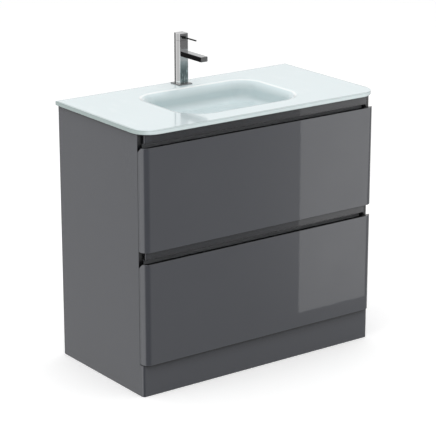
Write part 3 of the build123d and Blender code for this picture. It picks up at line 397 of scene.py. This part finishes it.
def column_chrome():
    """The tap column's chrome with painted reflections: a front darker low and paler high, a bright
    side, bright and dark upright bands by its rear corners, and the basin's broken reflection low on
    its faces."""
    made, tree, shader = material("tap_column_chrome_painted_reflections", Metallic=1.0)
    low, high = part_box("tap_body")
    spot, face = tree.spot(), tree.facing()
    where = tree.place()
    cloud = tree.noise(where, size=0.02, detail=4)
    rise = tree.step(spot["Z"], low.z, high.z)
    front = tree.blend(rise, COLUMN_FRONT_LOW, COLUMN_FRONT_HIGH)
    side = tree.blend(rise, COLUMN_SIDE_LOW, COLUMN_SIDE_HIGH)
    from_rear = tree.maths("SUBTRACT", high.y, spot["Y"])

    def band(edges):
        start, full, fade, end = edges
        return tree.both(tree.step(from_rear, start, full), tree.step(from_rear, end, fade))

    side = tree.blend(band(DARK_BAND), side, COLUMN_DARK_REFLECTION_BAND)
    side = tree.blend(band(WHITE_BAND), side, COLUMN_WHITE_REFLECTION_BAND)
    across = tree.step(tree.maths("ABSOLUTE", face["X"]), *COLUMN_SIDEWAYS)
    tone = tree.blend(across, front, side)
    flame = tree.noise(tree.place((1, 1, 0.28)), size=0.008, detail=3, rough=0.6)
    depth = tree.step(spot["Z"], low.z + REFLECTION_TOP, low.z + REFLECTION_FULL)
    off_sides = tree.maths("SUBTRACT", 1.0, across)
    patch = tree.both(depth, tree.step(flame, *FLAME_PATCH), off_sides)
    tone = tree.blend(tree.maths("MULTIPLY", patch, PATCH_STRENGTH), tone, COLUMN_BASIN_REFLECTION)
    spark = tree.both(depth, tree.step(flame, *FLAME_SPARK), off_sides)
    tone = tree.blend(tree.maths("MULTIPLY", spark, SPARK_STRENGTH), tone, COLUMN_REFLECTION_GLINT)
    tree.feed(shader.inputs["Base Color"], tone)
    wipe = tree.noise(tree.place((1, 1, 0.2)), size=0.006, detail=4, rough=0.6)
    tree.feed(shader.inputs["Roughness"], tree.span(wipe, low=0.03, high=0.09))
    tree.feed(shader.inputs["Normal"], tree.bump(cloud, depth=0.00002, strength=0.4))
    return made


def zinc_steel(name, light, dark, spangle=0.006, streak=(1, 0.05, 1)):
    """Zinc-plated steel: rolled streaks under a faint crystal pattern."""
    made, tree, shader = material(name, Metallic=1.0)
    where = tree.place()
    rolled = tree.noise(tree.place(streak), size=0.0008, detail=3)
    crystal = tree.add("TexVoronoi", {"Vector": where, "Scale": 1 / spangle}).outputs["Color"]
    grey = tree.add("RGBToBW", {"Color": crystal}).outputs["Val"]
    tone = tree.blend(tree.span(grey, low=0, high=0.5), light, dark)
    tone = tree.blend(tree.span(rolled, low=0, high=0.5), tone, dark)
    tree.feed(shader.inputs["Base Color"], tone)
    tree.feed(shader.inputs["Roughness"], tree.span(rolled, low=0.24, high=0.42))
    tree.feed(shader.inputs["Normal"], tree.bump(rolled, depth=0.00004, strength=0.5))
    return made


def moulded(name, light, dark, rough, **shader_values):
    """Injection-moulded plastic with a fine spark-eroded skin and slight flow clouds."""
    made, tree, shader = material(name, IOR=1.49, **shader_values)
    where = tree.place()
    cloud = tree.noise(where, size=0.03, detail=3)
    skin = tree.noise(where, size=0.0007, detail=2)
    tree.feed(shader.inputs["Base Color"], tree.blend(tree.span(cloud, low=0, high=1), light, dark))
    tree.feed(shader.inputs["Roughness"], tree.span(cloud, low=rough - 0.05, high=rough + 0.08))
    tree.feed(shader.inputs["Normal"], tree.bump(skin, depth=0.00005, strength=0.4))
    return made


MATERIALS = {
    "gloss_grey_lacquer": gloss_lacquer("gloss_grey_lacquer", start=0.98, end=0.66),
    "carcass_board": melamine("carcass_board_grey", rgb(0.30, 0.305, 0.32), rgb(0.24, 0.245, 0.26)),
    "hardboard": hardboard(),
    "drawer_board": melamine("drawer_board_grey", rgb(0.56, 0.56, 0.56), rgb(0.46, 0.465, 0.47)),
    "basin_glass": basin_glass(),
    "tap_chrome": chrome("tap_chrome_polished"),
    "runner_steel": zinc_steel("runner_zinc", rgb(0.66, 0.67, 0.69), rgb(0.45, 0.46, 0.48)),
    "screw_steel": zinc_steel(
        "screw_zinc", rgb(0.62, 0.61, 0.58), rgb(0.42, 0.42, 0.41), spangle=0.002
    ),
    "block_plastic": moulded(
        "block_plastic_grey", rgb(0.22, 0.22, 0.23), rgb(0.17, 0.17, 0.18), rough=0.45
    ),
    "buffer_plastic": moulded(
        "buffer_plastic_clear",
        rgb(0.78, 0.79, 0.78),
        rgb(0.66, 0.67, 0.66),
        rough=0.25,
        Subsurface_Weight=0.3,
    ),
    "aerator_plastic": moulded(
        "aerator_plastic_grey", rgb(0.45, 0.46, 0.47), rgb(0.36, 0.37, 0.38), rough=0.4
    ),
    "cartridge_plastic": moulded(
        "cartridge_plastic_white", rgb(0.66, 0.66, 0.63), rgb(0.56, 0.56, 0.53), rough=0.4
    ),
    "nut_brass": zinc_steel(
        "nut_brass_turned",
        rgb(0.75, 0.56, 0.26),
        rgb(0.55, 0.38, 0.16),
        spangle=0.003,
        streak=(1, 1, 0.1),
    ),
    "seal_rubber": moulded(
        "seal_rubber_black", rgb(0.020, 0.020, 0.020), rgb(0.035, 0.035, 0.034), rough=0.6
    ),
    "trap_plastic": moulded(
        "trap_plastic_white",
        rgb(0.78, 0.78, 0.76),
        rgb(0.70, 0.70, 0.68),
        rough=0.32,
        Subsurface_Weight=0.15,
    ),
}


# Pieces whose finish differs from their slot's: the channel rails, with deeper painted shade and
# painted light paler inside the finger slot, and the tap's pieces, with painted reflections unlike the
# plain chrome's.
RAIL_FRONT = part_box("upper_channel_rail")[0].y
RAIL_NOSE = 0.015
RAIL_LACQUER = gloss_lacquer(
    "channel_rail_lacquer", start=1.0, end=0.4, recess_behind=RAIL_FRONT + RAIL_NOSE
)
OWN_FINISHES = {
    "middle_channel_rail": RAIL_LACQUER,
    "upper_channel_rail": RAIL_LACQUER,
    "tap_body": column_chrome(),
    "tap_handle_cap": column_chrome(),
    "tap_base_plate": chrome("tap_plate_chrome", sides=0.25, shine=0.4),
    "tap_spout": chrome("tap_spout_chrome", sides=0.004, shine=0.75),
    "tap_lever": chrome("tap_lever_chrome", sides=0.004, shine=0.3),
}


def dress_nodes():
    """Gives every CAD node its finish: the one listed in OWN_FINISHES, or else the one that the
    record's slot asks for.
    """
    slots = {part["node"]: part["material_slot"] for part in frame["record"]["subparts"]}
    for name, node in NODES.items():
        node.data.materials.clear()
        node.data.materials.append(OWN_FINISHES.get(name) or MATERIALS[slots[name]])


# ================= stage, light and camera =================
FLOOR_SIZE = 80
FLOOR_TONE = rgb(0.93, 0.93, 0.93)
# Light the floor gives off, so that it stays as pale as the room behind it.
FLOOR_GLOW = 0.3


def lay_floor():
    """Plain pale floor, wide enough to fill the picture."""
    bpy.ops.mesh.primitive_plane_add(size=FLOOR_SIZE)
    floor = bpy.context.object
    floor.name = "studio_floor"
    made, _, shader = material("studio_floor_pale", Roughness=0.9)
    shader.inputs["Base Color"].default_value = FLOOR_TONE
    shader.inputs["Specular IOR Level"].default_value = 0.1
    shader.inputs["Emission Color"].default_value = rgb(1, 1, 1)
    shader.inputs["Emission Strength"].default_value = FLOOR_GLOW
    floor.data.materials.append(made)
    floor.visible_glossy = False


# Brightness of the room's walls round the object: azimuth in degrees from +Y towards +X.
ROOM_SIDES = [
    (-180, 0.06),
    (-125, 0.06),
    (-108, 1.15),
    (-62, 1.05),
    (-40, 0.58),
    (0, 0.35),
    (60, 0.5),
    (120, 0.35),
    (160, 0.35),
    (175, 0.06),
    (180, 0.06),
]
FILL_STRENGTH = 0.72
# Heights of the view direction, from 0 straight down to 1 straight up, between which the walls
# turn into the white ceiling.
CEILING_FROM, CEILING_FULL = 0.5, 0.62


def light_world():
    """A white room, with a darker side behind the camera for what the gloss reflects."""
    world = bpy.data.worlds.new("studio")
    bpy.context.scene.world = world
    world.use_nodes = True
    tree = Tree(world.node_tree)
    look = tree.add("TexCoord").outputs["Generated"]
    along = tree.add("SeparateXYZ", {"Vector": look}).outputs
    turn = tree.maths("ARCTAN2", along["X"], along["Y"])
    share = tree.maths("MULTIPLY_ADD", turn, 1 / (2 * math.pi), 0.5)
    sides = tree.ramp(share, [((azimuth + 180) / 360, value) for azimuth, value in ROOM_SIDES])
    rise = tree.maths("MULTIPLY_ADD", along["Z"], 0.5, 0.5)
    above = tree.ramp(rise, [(CEILING_FROM, 0.0), (CEILING_FULL, 1.0)], smooth=True)
    room = tree.blend(above, sides, rgb(1.0, 1.0, 1.0))
    ray = tree.add("LightPath").outputs
    seen = tree.add("Background", {"Color": room, "Strength": 1.0}).outputs[0]
    fill = tree.add("Background", {"Color": rgb(1, 1, 1), "Strength": FILL_STRENGTH}).outputs[0]
    gloss = tree.add("MixShader", {"Fac": ray["Is Glossy Ray"], 1: fill, 2: seen}).outputs[0]
    plain = tree.add("Background", {"Color": rgb(1, 1, 1), "Strength": 1.0}).outputs[0]
    final = tree.add("MixShader", {"Fac": ray["Is Camera Ray"], 1: gloss, 2: plain}).outputs[0]
    tree.add("OutputWorld", {"Surface": final})


# Name, place, target, size and power of each softbox.
SOFTBOXES = [
    ("key_left", (-4.0, -0.5, 2.6), (0, 0, 0.5), (3, 3), 30),
    ("top_light", (0.3, -0.3, 4.0), (0, 0, 0.8), (4, 4), 45),
]


def add_softbox(name, place, target, size, power):
    """A large soft area light that isn't mirrored in the gloss."""
    data = bpy.data.lights.new(name, "AREA")
    data.shape = "RECTANGLE"
    data.size, data.size_y = size
    data.energy = power
    lamp = bpy.data.objects.new(name, data)
    bpy.context.scene.collection.objects.link(lamp)
    lamp.location = place
    lamp.rotation_euler = (Vector(target) - Vector(place)).to_track_quat("-Z", "Y").to_euler()
    lamp.visible_glossy = False


# The screen's distance in front of the object, its left and bottom edges, its width and height.
REFLECTOR = (24.0, 19.15, -11.0, 40.0, 40.0)
REFLECTOR_GLOW = 1.35


def add_reflector():
    """The tall white screen far off to the right that the gloss fronts mirror."""
    away, left, bottom, width, height = REFLECTOR
    mesh = bpy.data.meshes.new("reflector_screen")
    corners = [
        (left, -away, bottom),
        (left + width, -away, bottom),
        (left + width, -away, bottom + height),
        (left, -away, bottom + height),
    ]
    mesh.from_pydata(corners, [], [(0, 1, 2, 3)])
    screen = bpy.data.objects.new("reflector_screen", mesh)
    bpy.context.scene.collection.objects.link(screen)
    made = bpy.data.materials.new("reflector_light")
    made.use_nodes = True
    tree = Tree(made.node_tree)
    glow = tree.add("Emission", {"Color": rgb(1, 1, 1), "Strength": REFLECTOR_GLOW})
    tree.add("OutputMaterial", {"Surface": glow.outputs[0]})
    mesh.materials.append(made)
    screen.visible_camera = False
    screen.visible_diffuse = False
    screen.visible_shadow = False


def place_camera():
    """Puts the camera where the product picture is taken from."""
    data = bpy.data.cameras.new("camera")
    data.lens = CAMERA_LENS
    data.sensor_width = CAMERA_SENSOR
    data.clip_end = CAMERA_REACH
    camera = bpy.data.objects.new("camera", data)
    bpy.context.scene.collection.objects.link(camera)
    camera.location = CAMERA_PLACE
    camera.rotation_euler = (math.pi / 2 - CAMERA_PITCH, 0, -CAMERA_YAW)
    bpy.context.scene.camera = camera


dress_nodes()
lay_floor()
light_world()
add_reflector()
for softbox in SOFTBOXES:
    add_softbox(*softbox)
place_camera()
bpy.context.scene.view_settings.view_transform = "Standard"
